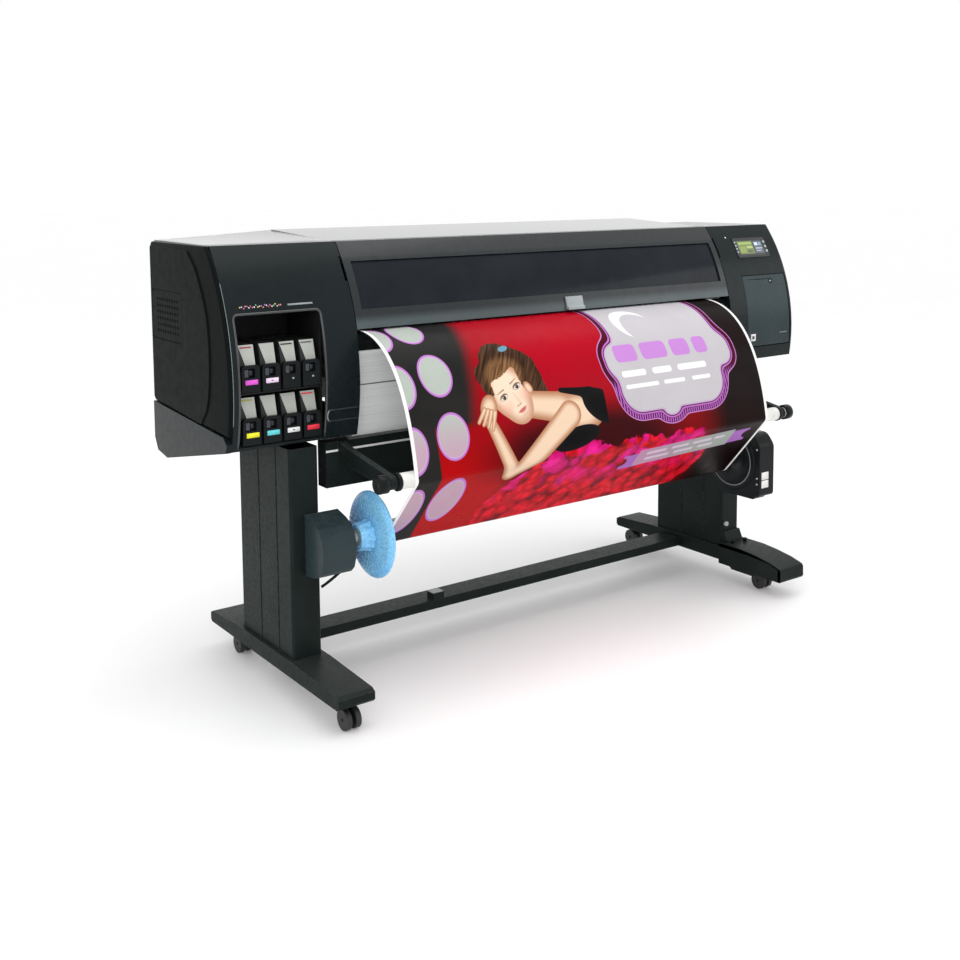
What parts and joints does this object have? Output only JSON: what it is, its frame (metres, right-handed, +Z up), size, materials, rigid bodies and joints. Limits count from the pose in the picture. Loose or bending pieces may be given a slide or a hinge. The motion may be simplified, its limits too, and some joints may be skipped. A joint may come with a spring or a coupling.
{
  "type": "wide-format printer cutter",
  "caption": "Floor-standing wide-format roll printer with ink drawers, hinged window, sliding carriage with cutter, and take-up reel on a wheeled stand.",
  "frame": {"origin": "on the floor, below the middle of the machine's overall box", "axes": "+X along the machine to the right as seen from its front, -Y towards the front, +Z up"},
  "size_m": [2.43, 0.874, 1.394],
  "materials": {
    "charcoal_cover": "satin moulded",
    "top_cover": "satin moulded",
    "black_plastic": "fine grain",
    "door_cover": "satin moulded",
    "window_frame": "satin moulded",
    "smoked_window": "gloss",
    "grey_plastic": "satin",
    "cartridge": "satin",
    "chassis_steel": "zinc grey",
    "stand_paint": "fine texture powder coat",
    "apron_metal": "brushed",
    "rail_steel": "ground",
    "belt_rubber": "matt",
    "roller_rubber": "matt",
    "caster_tread": "matt",
    "screen": "gloss",
    "key_light": "satin",
    "printed_media": "satin print",
    "blank_media": "satin",
    "hub_blue": "satin",
    "spindle_blue": "satin",
    "spindle_grey": "satin",
    "bar_white": "satin",
    "blade_steel": "ground"
  },
  "bodies": {
    "printer": {"left_side_panel": "charcoal_cover", "left_front_cover": "charcoal_cover", "left_lower_cover": "charcoal_cover", "ink_bay": "black_plastic", "right_cover": "charcoal_cover", "top_cover": "top_cover", "rear_cover": "charcoal_cover", "chassis_beam": "chassis_steel", "platen": "black_plastic", "output_guide": "black_plastic", "apron": "apron_metal", "carriage_rails": "rail_steel", "drive_belt": "belt_rubber", "control_panel": "black_plastic", "display": "screen", "stand_posts": "stand_paint", "stand_feet": "stand_paint", "crossbar": "stand_paint", "takeup_support": "black_plastic", "takeup_motor_unit": "black_plastic", "tension_arms": "stand_paint", "rear_roll_cradle": "black_plastic", "media_web": "printed_media"},
    "window": {"window_frame": "window_frame", "window_pane": "smoked_window", "window_handle": "grey_plastic"},
    "door": {"maintenance_door": "door_cover"},
    "carriage": {"carriage": "black_plastic", "cutter": "blade_steel"},
    "feed_roller": {"feed_roller": "roller_rubber"},
    "pinch_rollers": {"pinch_rollers": "roller_rubber"},
    "feed_spindle": {"feed_spindle": "spindle_blue", "supply_roll": "blank_media"},
    "takeup": {"takeup_spindle": "spindle_grey", "takeup_roll": "blank_media", "takeup_hubs": "hub_blue"},
    "tension_bar": {"tension_bar": "bar_white"},
    "ink_drawer_1": {"ink_drawer_1": "cartridge"},
    "ink_drawer_2": {"ink_drawer_2": "cartridge"},
    "ink_drawer_3": {"ink_drawer_3": "cartridge"},
    "ink_drawer_4": {"ink_drawer_4": "cartridge"},
    "ink_drawer_5": {"ink_drawer_5": "cartridge"},
    "ink_drawer_6": {"ink_drawer_6": "cartridge"},
    "ink_drawer_7": {"ink_drawer_7": "cartridge"},
    "ink_drawer_8": {"ink_drawer_8": "cartridge"},
    "caster_1": {"caster_fork_1": "black_plastic"},
    "wheel_1": {"caster_wheel_1": "caster_tread"},
    "caster_2": {"caster_fork_2": "black_plastic"},
    "wheel_2": {"caster_wheel_2": "caster_tread"},
    "caster_3": {"caster_fork_3": "black_plastic"},
    "wheel_3": {"caster_wheel_3": "caster_tread"},
    "caster_4": {"caster_fork_4": "black_plastic"},
    "wheel_4": {"caster_wheel_4": "caster_tread"},
    "menu_key_1": {"menu_key_1": "key_light"},
    "menu_key_2": {"menu_key_2": "key_light"},
    "menu_key_3": {"menu_key_3": "key_light"},
    "menu_key_4": {"menu_key_4": "key_light"},
    "nav_key_1": {"nav_key_1": "key_light"},
    "nav_key_2": {"nav_key_2": "key_light"},
    "nav_key_3": {"nav_key_3": "key_light"}
  },
  "joints": [
    {"name": "window_hinge", "type": "hinge", "parent": "printer", "child": "window", "pos_m": [0, 0.024, 1.363], "axis": [-1, 0, 0], "range_deg": [0, 70]},
    {"name": "door_hinge", "type": "hinge", "parent": "printer", "child": "door", "pos_m": [1.08, -0.152, 0.8995], "axis": [1, 0, 0], "range_deg": [0, 85]},
    {"name": "carriage_slide", "type": "slide", "parent": "printer", "child": "carriage", "axis": [1, 0, 0], "range_m": [-1.74, 0.06]},
    {"name": "feed_roller_spin", "type": "hinge", "parent": "printer", "child": "feed_roller", "pos_m": [0, 0.13, 1.0796], "axis": [1, 0, 0], "continuous": true},
    {"name": "pinch_spin", "type": "hinge", "parent": "printer", "child": "pinch_rollers", "pos_m": [0, 0.13, 1.1134], "axis": [1, 0, 0], "continuous": true},
    {"name": "supply_spin", "type": "hinge", "parent": "printer", "child": "feed_spindle", "pos_m": [0, 0.33, 1.01], "axis": [1, 0, 0], "continuous": true},
    {"name": "takeup_spin", "type": "hinge", "parent": "printer", "child": "takeup", "pos_m": [0, -0.207, 0.488], "axis": [1, 0, 0], "continuous": true},
    {"name": "tension_bar_spin", "type": "hinge", "parent": "printer", "child": "tension_bar", "pos_m": [0, -0.4, 0.693], "axis": [1, 0, 0], "continuous": true},
    {"name": "drawer_slide_1", "type": "slide", "parent": "printer", "child": "ink_drawer_1", "axis": [0, -1, 0], "range_m": [0, 0.12]},
    {"name": "drawer_slide_2", "type": "slide", "parent": "printer", "child": "ink_drawer_2", "axis": [0, -1, 0], "range_m": [0, 0.12]},
    {"name": "drawer_slide_3", "type": "slide", "parent": "printer", "child": "ink_drawer_3", "axis": [0, -1, 0], "range_m": [0, 0.12]},
    {"name": "drawer_slide_4", "type": "slide", "parent": "printer", "child": "ink_drawer_4", "axis": [0, -1, 0], "range_m": [0, 0.12]},
    {"name": "drawer_slide_5", "type": "slide", "parent": "printer", "child": "ink_drawer_5", "axis": [0, -1, 0], "range_m": [0, 0.12]},
    {"name": "drawer_slide_6", "type": "slide", "parent": "printer", "child": "ink_drawer_6", "axis": [0, -1, 0], "range_m": [0, 0.12]},
    {"name": "drawer_slide_7", "type": "slide", "parent": "printer", "child": "ink_drawer_7", "axis": [0, -1, 0], "range_m": [0, 0.12]},
    {"name": "drawer_slide_8", "type": "slide", "parent": "printer", "child": "ink_drawer_8", "axis": [0, -1, 0], "range_m": [0, 0.12]},
    {"name": "caster_swivel_1", "type": "hinge", "parent": "printer", "child": "caster_1", "pos_m": [-0.977, -0.352, 0.08], "axis": [0, 0, 1], "continuous": true},
    {"name": "wheel_spin_1", "type": "hinge", "parent": "caster_1", "child": "wheel_1", "pos_m": [-0.977, -0.392, 0.031], "axis": [1, 0, 0], "continuous": true},
    {"name": "caster_swivel_2", "type": "hinge", "parent": "printer", "child": "caster_2", "pos_m": [-0.977, 0.352, 0.08], "axis": [0, 0, 1], "continuous": true},
    {"name": "wheel_spin_2", "type": "hinge", "parent": "caster_2", "child": "wheel_2", "pos_m": [-0.977, 0.312, 0.031], "axis": [1, 0, 0], "continuous": true},
    {"name": "caster_swivel_3", "type": "hinge", "parent": "printer", "child": "caster_3", "pos_m": [0.873, -0.352, 0.08], "axis": [0, 0, 1], "continuous": true},
    {"name": "wheel_spin_3", "type": "hinge", "parent": "caster_3", "child": "wheel_3", "pos_m": [0.873, -0.312, 0.031], "axis": [1, 0, 0], "continuous": true},
    {"name": "caster_swivel_4", "type": "hinge", "parent": "printer", "child": "caster_4", "pos_m": [0.873, 0.352, 0.08], "axis": [0, 0, 1], "continuous": true},
    {"name": "wheel_spin_4", "type": "hinge", "parent": "caster_4", "child": "wheel_4", "pos_m": [0.873, 0.392, 0.031], "axis": [1, 0, 0], "continuous": true},
    {"name": "menu_key_1_press", "type": "slide", "parent": "printer", "child": "menu_key_1", "axis": [0, 0.8721, -0.4894], "range_m": [0, 0.0015], "stiffness_N_per_m": 300},
    {"name": "menu_key_2_press", "type": "slide", "parent": "printer", "child": "menu_key_2", "axis": [0, 0.8721, -0.4894], "range_m": [0, 0.0015], "stiffness_N_per_m": 300},
    {"name": "menu_key_3_press", "type": "slide", "parent": "printer", "child": "menu_key_3", "axis": [0, 0.8721, -0.4894], "range_m": [0, 0.0015], "stiffness_N_per_m": 300},
    {"name": "menu_key_4_press", "type": "slide", "parent": "printer", "child": "menu_key_4", "axis": [0, 0.8721, -0.4894], "range_m": [0, 0.0015], "stiffness_N_per_m": 300},
    {"name": "nav_key_1_press", "type": "slide", "parent": "printer", "child": "nav_key_1", "axis": [0, 0.8721, -0.4894], "range_m": [0, 0.0015], "stiffness_N_per_m": 300},
    {"name": "nav_key_2_press", "type": "slide", "parent": "printer", "child": "nav_key_2", "axis": [0, 0.8721, -0.4894], "range_m": [0, 0.0015], "stiffness_N_per_m": 300},
    {"name": "nav_key_3_press", "type": "slide", "parent": "printer", "child": "nav_key_3", "axis": [0, 0.8721, -0.4894], "range_m": [0, 0.0015], "stiffness_N_per_m": 300}
  ],
  "couplings": [
    {"joint": "pinch_spin", "follows": "feed_roller_spin", "ratio": -1.6667}
  ]
}
